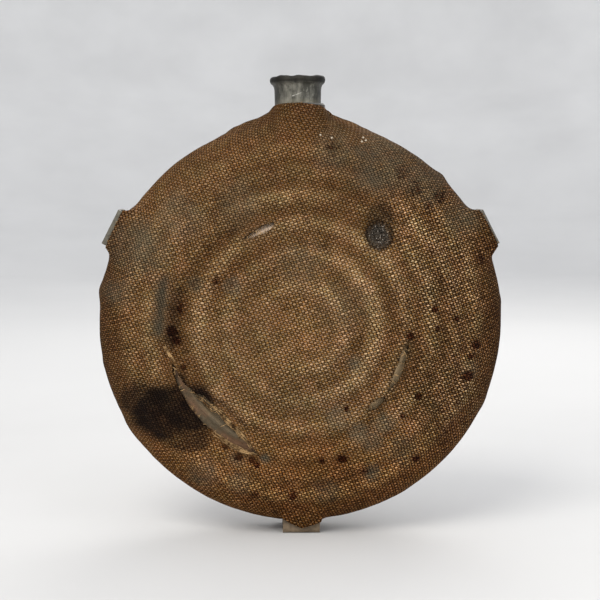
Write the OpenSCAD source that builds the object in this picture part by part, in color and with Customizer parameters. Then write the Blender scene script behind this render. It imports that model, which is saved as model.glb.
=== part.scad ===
// Round canteen: two pressed sheet-metal shells with raised rings, joined by a
// soldered lap, with a cast spout, three sling loops and a sewn cloth cover.
// Millimetres. +Z is up and the front faces -Y. The origin is the middle of the
// bottom loop's flat outer face, on which the canteen stands.

/* [Body] */
// Diameter of the metal body over its rim
body_d = 194; // [190:1:200]
// Depth of the metal body from face to face, without the rings
body_depth = 67; // [64:1:70]
// Thickness of the sheet metal
sheet = 0.5; // [0.4:0.05:0.6]
// Width of the band where the front shell slips over the back one
lap = 5; // [4:0.5:6]

/* [Rings] */
// Number of raised rings on each face
ring_count = 6; // [0:1:6]
// Radius of the innermost ring
first_ring_r = 19.5; // [17:0.5:20]
// Distance from the first ring to the second
ring_pitch = 15.25; // [14:0.25:15.5]
// How much closer each ring lies than the one before
ring_closing = 1.35; // [1.2:0.05:1.5]
// Height of a ring above the face
ring_h = 1.5; // [0.5:0.1:1.6]
// Width of a ring at its foot
ring_w = 5.4; // [4:0.2:6]

/* [Spout] */
// Inside radius of the spout
bore_r = 9.6; // [8:0.1:10]
// Outside radius of the spout's neck
neck_r = 11.3; // [11:0.1:11.5]
// Outside radius of the rolled lip
lip_r = 13.7; // [13:0.1:14]
// Height of the lip's top above the body's rim
spout_h = 23; // [20:0.5:26]
// Length of neck inside the body
spout_in = 5; // [3:0.5:7]
// Radius of the collar's skirt at its foot
collar_r = 14.5; // [14:0.1:14.8]

/* [Sling loops] */
// Angle of each side loop from the spout, in degrees
loop_angle = 63; // [50:1:80]
// Width of a loop along the rim
loop_w = 18.2; // [14:0.2:22]
// Inside width of a loop from front to back, for the sling
sling_w = 22.2; // [20:0.2:22.4]
// Distance of a loop's outer face from the body's rim
loop_reach = 7; // [6.8:0.1:10]
// Thickness of a loop's strip
strip = 0.8; // [0.6:0.1:1]
// Thickness of a loop at its folded edges
hem = 1.1; // [1:0.1:1.4]

/* [Cloth cover] */
// Thickness of the cloth
cloth = 1.2; // [0.8:0.1:1.4]
// Number of stitches that would go round the whole rim seam
stitch_count = 120; // [60:4:160]

/* [Hidden] */
$fn = 144;
body_r = body_d / 2;
face_t = body_depth / 2;
half_lap = lap / 2;
slack = 0.05;
centre_z = body_r + loop_reach;
hem_w = 2;
bend_r = 2;
joggle = 1;
cover_gap = 0.3;
cover_r = body_r + cover_gap + cloth;
cover_t = face_t + ring_h + cover_gap + cloth;
shoulder = 2.3;
fillet = 0.8;
collar_top = body_r + 9;
collar_grip = 0.9;
sleeve_top = collar_top + 0.9;
skirt_top = body_r + 1.2;
sleeve_gap = 0.9;
below_rim = body_r - 14;
solder_h = 0.55;
solder_edge = 1.2;
thread_r = 0.4;
stitch_l = 5;
stitch_slant = 25;
neck_clear_angle = 11;
loop_clear_angle = asin((loop_w / 2 + 2) / body_r);

// ---- shapes shared by several pieces ----

// Points of an arc in the plane.
function arc(centre, r, from, to, steps) =
    [for (i = [0:steps]) let (a = from + (to - from) * i / steps)
        centre + r * [cos(a), sin(a)]];

function ring_r(i) = first_ring_r + i * ring_pitch - ring_closing * i * (i - 1) / 2;

// Height that the rings add to a face at radius r.
function ring_rise(r) = ring_h * max([0, for (i = [0:ring_count - 1])
    let (off = abs(r - ring_r(i))) off < ring_w / 2 ? pow(cos(180 * off / ring_w), 2) : 0]);

// Distance of a dished face from the middle plane at radius r. A power of 2 is
// an ellipse, and a higher one is fuller at the shoulder.
function dish(r, rim, depth, power = 2) =
    half_lap + (depth - half_lap) * sqrt(max(0, 1 - pow(r / rim, power)));

// Radii at which a ringed face is drawn: across each ring, then round the rim.
function stations(rim) = concat([0, 10],
    [for (i = [0:ring_count - 1]) for (k = [-3:3]) ring_r(i) + k * ring_w / 6],
    [for (a = [72:3:90]) rim * sin(a)]);

function ringed_face(inset) =
    [for (r = stations(body_r - inset)) [r, dish(r, body_r - inset, face_t - inset) + ring_rise(r)]];

function smooth_face(inset) = let (rim = cover_r - inset)
    [for (a = [0:5:90]) [rim * sin(a), dish(rim * sin(a), rim, cover_t - inset, shoulder)]];

function reversed(points) = [for (i = [len(points) - 1:-1:0]) points[i]];

// Turns a profile of [radius, distance from the middle plane] about the Y axis.
module turned(points, side) {
    translate([0, 0, centre_z]) rotate([side * 90, 0, 0]) rotate_extrude() polygon(points);
}

FRONT = 1;
BACK = -1;

// A lens bounded by the same face on both sides.
module lens(face) {
    rim = face[len(face) - 1][0];
    for (side = [FRONT, BACK])
        turned(concat(face, [[rim, -slack], [0, -slack]]), side);
}

// A round profile about the spout's upright axis. Heights are above the body's centre.
module upright(points) {
    translate([0, 0, centre_z]) rotate_extrude() polygon(points);
}

module spout_hole() {
    upright([[0, below_rim], [neck_r + slack, below_rim], [neck_r + slack, sleeve_top], [0, sleeve_top]]);
}

// ---- metal body ----

module front_shell() {
    color([0.62, 0.58, 0.50]) difference() {
        turned(concat(ringed_face(0),
                      [[body_r, -half_lap], [body_r - sheet, -half_lap]],
                      reversed(ringed_face(sheet))), FRONT);
        spout_hole();
    }
}

// The back shell's edge steps in by one sheet and lies inside the front shell's.
module back_shell() {
    flange_end = -half_lap + slack;
    color([0.58, 0.54, 0.47]) difference() {
        turned(concat([for (p = ringed_face(0)) if (p[1] > half_lap + joggle) p],
                      [[body_r, half_lap + joggle],
                       [body_r - sheet, half_lap], [body_r - sheet, flange_end],
                       [body_r - 2 * sheet, flange_end], [body_r - 2 * sheet, half_lap]],
                      reversed([for (p = ringed_face(sheet)) if (p[1] > half_lap + joggle) p])), BACK);
        spout_hole();
    }
}

module rim_solder() {
    bulge = cover_gap - slack;
    color([0.55, 0.56, 0.57]) difference() {
        turned([[body_r - sheet, half_lap], [body_r, half_lap],
                [body_r + bulge, half_lap + joggle / 2], [body_r, half_lap + joggle]], BACK);
        spout_hole();
    }
}

// ---- spout ----

module spout() {
    top = body_r + spout_h;
    roll_r = 1.4;
    roll = [lip_r - roll_r, top - roll_r];
    mouth_r = 1;
    color([0.50, 0.49, 0.45]) upright(concat(
        [[bore_r, body_r - spout_in], [neck_r, body_r - spout_in], [neck_r, roll[1] - 1.6 * roll_r]],
        arc(roll, roll_r, -60, 90, 10),
        arc([bore_r + mouth_r, top - mouth_r], mouth_r, 90, 180, 5)));
}

module spout_collar() {
    inner = neck_r + slack;
    outer = inner + sheet;
    color([0.52, 0.49, 0.43]) difference() {
        upright([[inner, collar_top], [outer, collar_top], [outer, collar_top - collar_grip],
                 [collar_r, skirt_top], [collar_r, below_rim], [collar_r - sheet, below_rim],
                 [collar_r - sheet, skirt_top], [inner, collar_top - collar_grip]]);
        lens(ringed_face(0));
    }
}

module spout_solder() {
    color([0.60, 0.61, 0.61])
        upright([[neck_r, collar_top], [neck_r + slack + sheet, collar_top], [neck_r, collar_top + fillet]]);
}

// A bead of solder along the skirt's foot, where it sits across the rim.
module collar_solder() {
    bead_w = 0.8;
    color([0.60, 0.61, 0.61]) difference() {
        intersection() {
            lens(ringed_face(-fillet));
            upright([[collar_r, below_rim], [collar_r + bead_w, below_rim],
                     [collar_r + bead_w, collar_top], [collar_r, collar_top]]);
        }
        lens(ringed_face(0));
    }
}

// ---- sling loops ----

// A loop is a bent strip. Its section is drawn in [distance from the middle
// plane, height above the body's centre], and its foot lies along the face.
half_w = sling_w / 2 + strip;
foot_t = half_w + 1.2;
foot_l = 3.2;
function rim_at(t) = body_r * sqrt(1 - pow((t - half_lap) / (face_t - half_lap), 2));
foot_dir = let (d = [2 * slack, rim_at(foot_t + slack) - rim_at(foot_t - slack)]) d / norm(d);
foot_out = [-foot_dir[1], foot_dir[0]];
foot_mid = [foot_t, rim_at(foot_t)] + slack * foot_out;

// The point of the line along the foot, at a height over it, that is t from the middle plane.
function on_foot(t, rise) = let (p = foot_mid + rise * foot_out)
    p + foot_dir * (t - p[0]) / foot_dir[0];

function half_loop(thick) = let (
        top = centre_z,
        bend = [half_w - bend_r, top - bend_r],
        knee = on_foot(half_w - thick, 0),
        toe = foot_mid + foot_dir * foot_l / 2)
    concat([[0, top]], arc(bend, bend_r, 90, 0, 6),
           [on_foot(half_w, thick), toe + thick * foot_out, toe, knee],
           arc(bend, bend_r - thick, 0, 90, 6), [[0, top - thick]]);

module strip_section(thick, width) {
    for (side = [0, 1]) mirror([0, side, 0])
        rotate([90, 0, 90]) linear_extrude(height = width, center = true)
            polygon(half_loop(thick));
}

module at_loop(angle) {
    translate([0, 0, centre_z]) rotate([0, angle, 0]) children();
}

module loop_strip() {
    strip_section(strip, loop_w);
    for (side = [-1, 1]) translate([side * (loop_w - hem_w) / 2, 0, 0]) strip_section(hem, hem_w);
}

module loop(angle) {
    color([0.50, 0.47, 0.41]) at_loop(angle) loop_strip();
}

// Solder that fills the wedge between each flat foot and the round face.
module loop_solder(angle) {
    toe = foot_mid + foot_dir * foot_l / 2;
    heel = on_foot(half_w - strip, 0);
    color([0.60, 0.61, 0.61]) difference() {
        at_loop(angle) for (side = [0, 1]) mirror([0, side, 0])
            rotate([90, 0, 90]) linear_extrude(height = loop_w + 2 * solder_edge, center = true)
                polygon([heel - 1.6 * foot_dir - foot_out, toe + 1.6 * foot_dir - foot_out,
                         toe + 0.4 * foot_dir + solder_h * foot_out,
                         heel - 0.8 * foot_dir + solder_h * foot_out]);
        at_loop(angle) loop_strip();
        lens(ringed_face(0), $fn = 288);
    }
}

LEFT = -loop_angle;
RIGHT = loop_angle;
BOTTOM = 180;

// ---- cloth cover ----

// The cover's surface, with the sleeve that rises round the collar. An inset of
// 0 is its outside, and an inset of the cloth's thickness its inside.
module cover_form(inset) {
    neck = neck_r + sheet + 0.15 + cloth - inset;
    skirt = collar_r + sleeve_gap + cloth - inset;
    top = sleeve_top + (inset > 0 ? slack : 0);
    lens(smooth_face(inset));
    upright([[0, below_rim], [skirt, below_rim], [skirt, skirt_top + 0.2],
             [neck, collar_top - collar_grip + 0.2], [neck, top], [0, top]]);
}

// Room under the cloth for a loop's legs, feet and solder.
module loop_room(angle) {
    room = 0.4;
    heel = on_foot(half_w - hem - room, 0);
    toe = foot_mid + foot_dir * foot_l / 2;
    at_loop(angle) for (side = [0, 1]) mirror([0, side, 0])
        rotate([90, 0, 90]) linear_extrude(height = loop_w + 2 * (solder_edge + room), center = true) {
            polygon([heel - 2 * foot_dir - foot_out, toe + 2 * foot_dir - foot_out,
                     toe + 0.8 * foot_dir + (hem + room) * foot_out,
                     heel - 0.8 * foot_dir + (hem + room) * foot_out]);
            polygon([heel, heel + [hem + 2 * room, 0],
                     [heel[0] + hem + 2 * room, centre_z], [heel[0], centre_z]]);
        }
}

module half_cover(side) {
    reach = 2 * body_d;
    difference() {
        cover_form(0);
        cover_form(cloth);
        translate([-reach / 2, side > 0 ? -slack / 2 : slack / 2 - reach, -reach / 2])
            cube([reach, reach, 2 * reach]);
        for (angle = [LEFT, RIGHT, BOTTOM]) loop_room(angle);
    }
}

module front_cover() {
    color([0.42, 0.31, 0.19]) half_cover(FRONT);
}

module back_cover() {
    color([0.38, 0.28, 0.17]) half_cover(BACK);
}

module stitch(length) {
    rotate([90, 0, 0]) cylinder(r = thread_r, h = length, center = true, $fn = 24);
}

// Whether an angle from the spout lies clear of the spout and of each loop's slot.
function clear_of_fittings(angle) = abs(angle) > neck_clear_angle
    && abs(abs(angle) - loop_angle) > loop_clear_angle && 180 - abs(angle) > loop_clear_angle;

// Slanting stitches across the seam round the rim.
module rim_stitches() {
    color([0.55, 0.45, 0.30])
        for (i = [0:stitch_count - 1]) let (angle = 360 * (i + 0.5) / stitch_count - 180)
            if (clear_of_fittings(angle))
                at_loop(angle) translate([0, 0, cover_r + thread_r + slack / 2])
                    rotate([0, 0, stitch_slant]) stitch(stitch_l);
}

// Stitches that close the cover's sleeve on each side of the spout.
module neck_stitches() {
    neck = neck_r + sheet + 0.15 + cloth;
    skirt = collar_r + sleeve_gap + cloth;
    low = [skirt, skirt_top + 0.2];
    high = [neck, collar_top - collar_grip + 0.2];
    slope = (high - low) / norm(high - low);
    outward = [slope[1], -slope[0]] * (thread_r + slack);
    color([0.55, 0.45, 0.30]) translate([0, 0, centre_z])
        for (side = [-1, 1]) for (share = [0.25, 0.75])
            let (p = low + share * (high - low) + outward)
                translate([side * p[0], 0, p[1]]) stitch(stitch_l - 1);
}

front_shell();
back_shell();
rim_solder();
spout();
spout_collar();
spout_solder();
collar_solder();
loop(LEFT);  // left_loop
loop(RIGHT);  // right_loop
loop(BOTTOM);  // bottom_loop
loop_solder(LEFT);  // left_loop_solder
loop_solder(RIGHT);  // right_loop_solder
loop_solder(BOTTOM);  // bottom_loop_solder
front_cover();
back_cover();
rim_stitches();
neck_stitches();
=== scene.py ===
"""Looks of a round canteen: worn cloth over two ringed tin shells, a dented spout and three sling loops."""

import math

import bpy
import numpy as np
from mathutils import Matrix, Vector

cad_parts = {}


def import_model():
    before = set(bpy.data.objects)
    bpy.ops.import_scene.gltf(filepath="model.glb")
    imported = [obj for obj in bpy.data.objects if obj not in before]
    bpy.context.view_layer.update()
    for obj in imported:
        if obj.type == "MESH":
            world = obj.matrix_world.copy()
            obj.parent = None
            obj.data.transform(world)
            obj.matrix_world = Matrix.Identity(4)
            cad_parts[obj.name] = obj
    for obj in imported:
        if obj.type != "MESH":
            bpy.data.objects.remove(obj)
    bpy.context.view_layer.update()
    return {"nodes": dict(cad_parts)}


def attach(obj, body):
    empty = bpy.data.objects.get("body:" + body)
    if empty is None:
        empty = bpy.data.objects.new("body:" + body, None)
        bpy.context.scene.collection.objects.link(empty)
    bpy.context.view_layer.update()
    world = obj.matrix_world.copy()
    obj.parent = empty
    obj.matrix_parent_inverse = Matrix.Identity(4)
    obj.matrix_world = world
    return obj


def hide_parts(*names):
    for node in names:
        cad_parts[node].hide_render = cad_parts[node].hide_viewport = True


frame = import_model()

# ---- the metal body under the cloth, in millimetres ----
MM = 0.001
BODY_R = 97.0
HALF_LAP = 2.5  # half the width of the straight band round the rim
FACE_T = 33.5  # distance of a face's middle from the middle plane
CENTRE_Z = 104.0  # height of the body's middle
RING_RADII = (19.5, 34.75, 48.65, 61.2, 72.4, 82.25)
NECK_R = 11.3
LOOP_ANGLES = {"left": -63.0, "right": 63.0, "bottom": 180.0}  # degrees clockwise from the spout

# ---- the cloth ----
CLOTH = 0.85  # thickness of the cloth
OVER_TIN = 1.6  # height of the cloth's outside above a smooth face
RING_LIFT = 1.1  # how much more a ring lifts it
RING_REACH = 5.6  # half the width of the ridge that a ring makes in the cloth
SEAM_LIFT = -0.4  # how much further out the seam lies than the cloth beside it
TIGHT_RIM = 0.45  # how much closer the cloth lies round the rim
COLUMNS = 400
ROWS = 108
FIRST_R = 1.2  # radius of the innermost row
FRONT, BACK = 1, -1


# ---- noise ----


def lattice(ix, iy, iz, seed):
    """A repeatable number from 0 to 1 for each whole-number point."""
    n = (ix * 73856093) ^ (iy * 19349663) ^ (iz * 83492791) ^ (seed * 2654435761)
    n &= 0xFFFFFFFF
    n = ((n ^ (n >> 15)) * 2246822519) & 0xFFFFFFFF
    n = ((n ^ (n >> 13)) * 1266489917) & 0xFFFFFFFF
    return ((n ^ (n >> 16)) & 0xFFFFFF) / 0xFFFFFF


def noise(points, size, seed):
    """Smooth noise from -1 to 1 with features of a given size."""
    p = np.asarray(points, float) / size
    base = np.floor(p).astype(np.int64)
    f = p - base
    f = f * f * (3 - 2 * f)
    total = np.zeros(p.shape[:-1])
    for corner in range(8):
        d = [(corner >> k) & 1 for k in range(3)]
        weight = np.ones(p.shape[:-1])
        for k in range(3):
            weight = weight * (f[..., k] if d[k] else 1 - f[..., k])
        cell = [base[..., k] + d[k] for k in range(3)]
        total += weight * lattice(cell[0], cell[1], cell[2], seed)
    return 2 * total - 1


def fractal(points, size, seed):
    """Noise of three sizes, each half as large and half as strong as the one before."""
    return sum(noise(points, size / 2**k, seed + 17 * k) / 2**k for k in range(3)) / 1.75


def smoothstep(x, low, high):
    f = np.clip((x - low) / (high - low), 0, 1)
    return f * f * (3 - 2 * f)


def bell(x, centre, width):
    return np.exp(-(((x - centre) / width) ** 2))


# ---- the meridian of the smooth metal face, by distance along it from the middle ----


ARC_STEPS = 1200
BAND_STEPS = 12


def make_meridian():
    """An arc of an ellipse over the face and a straight band at the rim, with normals and flat-cut radii."""
    phi = np.linspace(0, math.pi / 2, ARC_STEPS)
    r = BODY_R * np.sin(phi)
    t = HALF_LAP + (FACE_T - HALF_LAP) * np.cos(phi)
    nr = np.sin(phi) / BODY_R
    nt = np.cos(phi) / (FACE_T - HALF_LAP)
    size = np.hypot(nr, nt)
    band = np.linspace(HALF_LAP, 0, BAND_STEPS)[1:]
    r = np.concatenate([r, np.full(len(band), BODY_R)])
    t = np.concatenate([t, band])
    nr = np.concatenate([nr / size, np.ones(len(band))])
    nt = np.concatenate([nt / size, np.zeros(len(band))])
    s = np.concatenate([[0], np.cumsum(np.hypot(np.diff(r), np.diff(t)))])
    cut = np.sqrt(2 * np.concatenate([[0], np.cumsum((r[1:] + r[:-1]) / 2 * np.diff(s))]))
    return {"s": s, "r": r, "t": t, "nr": nr, "nt": nt, "cut": cut}


MERIDIAN = make_meridian()
S_END = MERIDIAN["s"][-1]


def along(s, name):
    """The meridian's r, t, normal or flat-cut radius at a distance s from the middle."""
    return np.interp(s, MERIDIAN["s"], MERIDIAN[name])


def s_at_radius(r):
    edge = np.argmax(MERIDIAN["r"])
    return float(np.interp(r, MERIDIAN["r"][:edge], MERIDIAN["s"][:edge]))


def ring_ridge(off):
    """The rounded ridge that a ring raises in the cloth, from 1 on the ring to 0 beside it."""
    return np.where(off < RING_REACH, np.cos(off / RING_REACH * math.pi / 2) ** 2, 0)


def ring_lift(r):
    return np.minimum(sum(ring_ridge(np.abs(r - ring)) for ring in RING_RADII), 1)


# The seam's larger lumps and dips: (degrees clockwise from the spout, millimetres, degrees wide).
SEAM_LUMPS = (
    (-122, 0.8, 4), (-118, 0.8, 22), (-81, 1.5, 3), (-50, -1.5, 7), (-30, -1.1, 8), (42, 0.5, 9),
    (44, 1.2, 2), (84, 0.8, 3), (114, 0.8, 4), (150, 0.6, 22),
)
# How much further out the seam lies beside the spout: (degrees clockwise from the spout, millimetres).
SPOUT_SIDES = ((-34, 0), (-22, 0.6), (-19, 2.1), (-8, 3.4), (8, 2.4), (13, 2.6), (20, 0.7), (30, 0))
SEAM_NOISE_R = 98.0
LEAST_SEAM_R = 97.3  # the cloth's outside lies no closer to the axis than this


def wrapped(angle):
    """An angle in degrees, brought between -180 and 180."""
    return (np.asarray(angle) + 180) % 360 - 180


def seam_radius(angle):
    """Outside radius of the seam round the rim, lumpy and raised beside the spout and the loops."""
    a = np.radians(angle)
    around = SEAM_NOISE_R * np.stack([np.sin(a), np.cos(a), np.zeros_like(a)], -1)
    lumps = 0.12 * noise(around, 9, 8) + 0.18 * noise(around, 3.2, 9)
    for at, size, width in SEAM_LUMPS:
        lumps += size * bell(wrapped(angle - at), 0, width)
    beside_spout = np.interp(angle, *zip(*SPOUT_SIDES))
    return np.maximum(BODY_R + OVER_TIN + SEAM_LIFT + lumps + beside_spout, LEAST_SEAM_R)


# ---- slits: rows of the cloth's grid along which it is cut open ----
# A tear's edges are (angle, radius of its inner lip, radius of its outer lip), with angles in
# degrees clockwise from the spout, seen from the front, and radii in millimetres on the bare face.
# r is where the slit lies, lift how far the inner lip stands up, and fray the chance of a yarn end.

TEARS = (
    {"r": 61.0, "lift": 0.8, "fray": 0.2, "edges": (
        (-162.0, 64.6, 64.6), (-156.0, 60.0, 66.0), (-148.0, 56.2, 65.9), (-137.0, 54.4, 65.6),
        (-124.0, 57.3, 65.5), (-115.0, 61.0, 65.3), (-109.0, 62.2, 64.4), (-104.0, 62.8, 62.8))},
    {"r": 50.0, "lift": 0.2, "fray": 0.3, "edges": (
        (-34.5, 49.6, 49.6), (-29.0, 47.9, 50.3), (-22.0, 47.4, 51.0), (-17.0, 48.8, 51.3),
        (-14.5, 50.3, 50.3))},
    {"r": 50.2, "lift": 0.0, "fray": 0.12, "edges": (
        (97.0, 50.0, 50.0), (104.0, 48.2, 50.9), (112.0, 47.8, 51.8), (120.0, 48.6, 52.2),
        (127.5, 50.2, 50.2))},
    {"r": 50.2, "lift": 0.1, "fray": 0.1, "edges": (
        (130.3, 50.9, 50.9), (133.0, 49.0, 52.5), (138.5, 48.2, 52.1), (142.0, 50.0, 50.0))},
)
BACK_TEARS = (
    {"r": 61.9, "lift": 0.4, "fray": 0.3, "edges": (
        (38.0, 61.0, 61.0), (41.0, 59.8, 62.6), (45.0, 60.0, 62.8), (48.0, 61.4, 61.4))},
)

LOOP_HALF = 9.9  # half the length of the slit that a loop's leg comes through
LEG_HALF = 9.0  # half the width over which the cloth lies on a leg
LEG_T = 12.95  # distance of the cloth's outside from the middle plane where it lies on a leg
LOOP_CUT_R = 93.3  # radius on the bare face at which the slit for a leg lies
TENT_FOOT_R = 86.0  # radius from which the cloth runs straight to a leg
# Radius of the cloth's edge on each leg: at the leg's one side, its middle and its other side.
LOOP_LIPS = {
    FRONT: {"left": (101.4, 101.3, 101.8), "right": (102.3, 102.4, 102.7), "bottom": (98.2, 100.8, 96.0)},
    BACK: {"left": (100.8, 101.4, 101.0), "right": (101.2, 100.8, 101.6), "bottom": (100.6, 101.2, 100.0)},
}
LOOP_WINGS = {"left": 7.5, "right": 7.5, "bottom": 3.2}  # how far the cloth drawn up a leg runs out beside it

SLEEVE_FOOT_R = 84.0  # radius from which the cloth runs up to the spout
SLEEVE_HALF = 8.0  # half the angle of cloth that goes round the neck
SLEEVE_R = NECK_R + 1.55
# Height of the sleeve's edge above the body's centre: left of the spout, in the middle and right of it.
SLEEVE_TOPS = {FRONT: (104.9, 106.3, 101.2), BACK: (105.0, 106.2, 103.0)}

CLOTH_LUMPS = ((0.22, 19), (0.14, 7), (0.06, 3.0))  # height and size of the small lumps in the cloth
TIGHT_FROM_R = 88.0  # radius from which the cloth lies closer
SEAM_REACH = 3.2  # how far in from the seam its lumps still show
LEAST_T = 0.06  # the seam's gap on each side of the middle plane
LEAST_S = 0.3  # the grid comes no closer than this to a face's middle
FAR = 99.0  # a distance beyond every reach
CRUST_X, CRUST_Z = 36.2, 43.4  # middle of the crusted spot


def curve(share, start, pull, end):
    """A curve from start to end that leaves and arrives along its lines to pull."""
    return (1 - share) ** 2 * start + 2 * share * (1 - share) * pull + share**2 * end


class Cover:
    """One panel of the cover as a polar grid: rows go out from the middle, columns round it."""

    def __init__(self, side, tears, seed):
        self.side, self.seed = side, seed
        self.angles = -180 + 360 * np.arange(COLUMNS) / COLUMNS
        self.stations = np.linspace(s_at_radius(FIRST_R), S_END, ROWS)
        self.cuts = []
        for tear in tears:
            self.add_cut(tear["r"], tear["edges"][0][0], tear["edges"][-1][0], tear=tear)
        half = math.degrees(LOOP_HALF / BODY_R)
        for name, centre in LOOP_ANGLES.items():
            self.add_cut(LOOP_CUT_R, centre - half, centre + half, loop=name)

    def add_cut(self, r, start, end, tear=None, loop=None):
        row = int(np.argmin(np.abs(self.stations - s_at_radius(r))))
        span = (end - start) % 360
        off = (self.angles - start) % 360
        columns = [int(c) for c in np.argsort(off) if 0 < off[c] < span]
        self.cuts.append({"row": row, "s": self.stations[row], "start": start, "span": span,
                          "columns": columns, "tear": tear, "loop": loop})

    def build(self):
        """Numbers the points, (row, column) first and then the second lip of each slit, and places them."""
        rows, columns = np.meshgrid(np.arange(ROWS), np.arange(COLUMNS), indexing="ij")
        row, column = [rows.ravel()], [columns.ravel()]
        lip = [np.full(ROWS * COLUMNS, -1)]
        for k, cut in enumerate(self.cuts):
            cut["first"] = ROWS * COLUMNS + sum(len(c["columns"]) for c in self.cuts[:k])
            row.append(np.full(len(cut["columns"]), cut["row"]))
            column.append(np.array(cut["columns"]))
            lip.append(np.full(len(cut["columns"]), k))
        self.row, self.column, self.lip = np.concatenate(row), np.concatenate(column), np.concatenate(lip)
        self.angle = self.angles[self.column]
        self.s0 = self.stations[self.row]
        self.place()

    def outside(self, k):
        """Which points lie on the rim's side of slit k."""
        return (self.row > self.cuts[k]["row"]) | (self.lip == k)

    def place(self):
        """Lays the cloth over the metal, up the legs and up the spout."""
        s, lift = self.open_slits()
        self.s1 = np.clip(s, LEAST_S, S_END)
        r, t = along(self.s1, "r"), along(self.s1, "t")
        a = np.radians(self.angle)
        self.tin_r = r
        self.flat = np.stack([r * np.sin(a), r * np.cos(a), t], -1)
        height = self.height(r, t) + lift
        r, t = self.tents(r + along(self.s1, "nr") * height, t + along(self.s1, "nt") * height)
        self.x, t, self.z = self.sleeve(r * np.sin(a), t, r * np.cos(a))
        if self.side == FRONT:
            t = t + self.crust_dent()
        self.points = np.stack([self.x, -self.side * np.maximum(t, LEAST_T), self.z + CENTRE_Z], -1)

    def open_slits(self):
        """Distance from the middle and extra height of each point, once every slit is open."""
        s = self.s0.copy()
        lift = np.zeros_like(s)
        self.edge = np.full(len(s), FAR)  # distance from the nearest torn edge
        self.inner_edge = np.full(len(s), FAR)  # distance inwards from the first tear
        for k, cut in enumerate(self.cuts):
            off = (self.angle - cut["start"]) % 360
            share = np.where(off < cut["span"], off / cut["span"], 0)
            gap = np.abs(self.s0 - cut["s"])
            if cut["tear"]:
                self.open_tear(k, share, gap, s, lift)
            else:
                bulge = np.sin(math.pi * share) ** 0.4
                s += np.where(self.outside(k), 2.6 * bulge * np.exp(-gap / 3.5), 0)
        return s, lift

    def open_tear(self, k, share, gap, s, lift):
        """Draws the lips of tear k apart in s, and raises the inner and sinks the outer one in lift."""
        cut, out = self.cuts[k], self.outside(k)
        tear, row_s = cut["tear"], cut["s"]
        inner, outer = self.lips(tear, row_s)
        lip = np.where(out, outer, inner)
        rough = np.where(out, -0.4, 1.0) * self.roughness(k, tear["r"], share)
        s += (lip + rough) * np.exp(-gap / np.maximum(6.0, 1.8 * np.abs(lip)))
        width = np.clip((outer - inner) / 1.6, 0, 1)
        away = np.abs(s - row_s - lip)
        lift += width * np.where(out, -0.3 * np.exp(-away / 3.0), tear["lift"] * np.exp(-away / 2.4))
        is_open = width > 0.02
        self.edge = np.where(is_open, np.minimum(self.edge, away), self.edge)
        if k == 0:
            self.inner_edge = np.where(is_open & ~out, away, self.inner_edge)

    def roughness(self, k, r, share):
        """How far the lips of tear k wander, growing from nothing at its start."""
        arc = np.stack([np.radians(self.angle) * r, share * 0 + 40 * k, share * 0], -1)
        single = lattice(self.column, self.row * 0 + k, self.column * 0, 77) - 0.5
        return (0.55 * noise(arc, 3.6, 78) + 0.4 * single) * np.clip(4 * share * (share < 1), 0, 1)

    def lips(self, tear, row_s):
        """How far each point's column of the inner and outer lip lies from the slit's row."""
        edges = tear["edges"]
        start, fade = edges[0][0], 6.0
        off = (self.angle - start + fade) % 360
        at = [0] + [e[0] - start + fade for e in edges] + [edges[-1][0] - start + 2 * fade]
        inner = [0] + [s_at_radius(e[1]) - row_s for e in edges] + [0]
        outer = [0] + [s_at_radius(e[2]) - row_s for e in edges] + [0]
        return np.interp(off, at, inner), np.interp(off, at, outer)

    def height(self, r, t):
        """How far the cloth's outside stands off the metal, with the rings, small lumps and the seam."""
        tight = TIGHT_RIM * smoothstep(self.s0, s_at_radius(TIGHT_FROM_R), S_END - 4)
        height = OVER_TIN + RING_LIFT * ring_lift(r) - tight
        for k, (amount, size) in enumerate(CLOTH_LUMPS):
            height += amount * noise(self.flat, size, self.seed + k)
        return height + bell(t, 0, SEAM_REACH) * (seam_radius(self.angle) - BODY_R - OVER_TIN + TIGHT_RIM)

    def crust_dent(self):
        """The cloth sinks at the crusted spot, inside a slight ring."""
        off = np.hypot(self.flat[:, 0] - CRUST_X, self.flat[:, 1] - CRUST_Z)
        return 0.3 * bell(off, 6.3, 1.4) - 0.7 * bell(off, 0, 4.2)

    def foot(self, s):
        """Radius and distance from the middle plane of plain cloth at s."""
        h = OVER_TIN + RING_LIFT * float(ring_lift(np.array([along(s, "r")]))[0])
        return along(s, "r") + along(s, "nr") * h, along(s, "t") + along(s, "nt") * h

    def tents(self, r, t):
        """Carries the cloth straight from the outermost ring up each loop's leg."""
        s_foot, s_cut = s_at_radius(TENT_FOOT_R), self.cuts[-1]["s"]
        (foot_r, foot_t), (cut_r, cut_t) = self.foot(s_foot), self.foot(s_cut)
        tau = np.clip((self.s0 - s_foot) / (s_cut - s_foot), 0, 1)
        beyond = np.clip((self.s0 - s_cut) / (S_END - s_cut), 0, 1)
        for k, cut in enumerate(self.cuts):
            name = cut["loop"]
            if not name:
                continue
            out = self.outside(k)
            u = math.radians(1) * wrapped(self.angle - LOOP_ANGLES[name]) * BODY_R
            lip = np.interp(u, (-LEG_HALF, 0, LEG_HALF), LOOP_LIPS[self.side][name])
            lip = lip + 0.35 * (lattice(self.column, self.column * 0, self.column * 0 + k, 31) - 0.5)
            dr = np.where(out, lip - cut_r, curve(tau, foot_r, 96.0, lip) - r)
            dt = np.where(out, LEG_T - cut_t, curve(tau, foot_t, 15.2, LEG_T) - t)
            reach = np.clip(1 - (np.abs(u) - LEG_HALF) / LOOP_WINGS[name], 0, 1) ** 1.6
            reach = np.where(out, (1 - beyond) ** 1.5, 1) * reach * (self.s0 > s_foot)
            reach = np.where(out & np.isin(self.column, cut["columns"]), 0, reach)
            r, t = r + dr * reach, t + dt * reach
        return r, t

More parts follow.
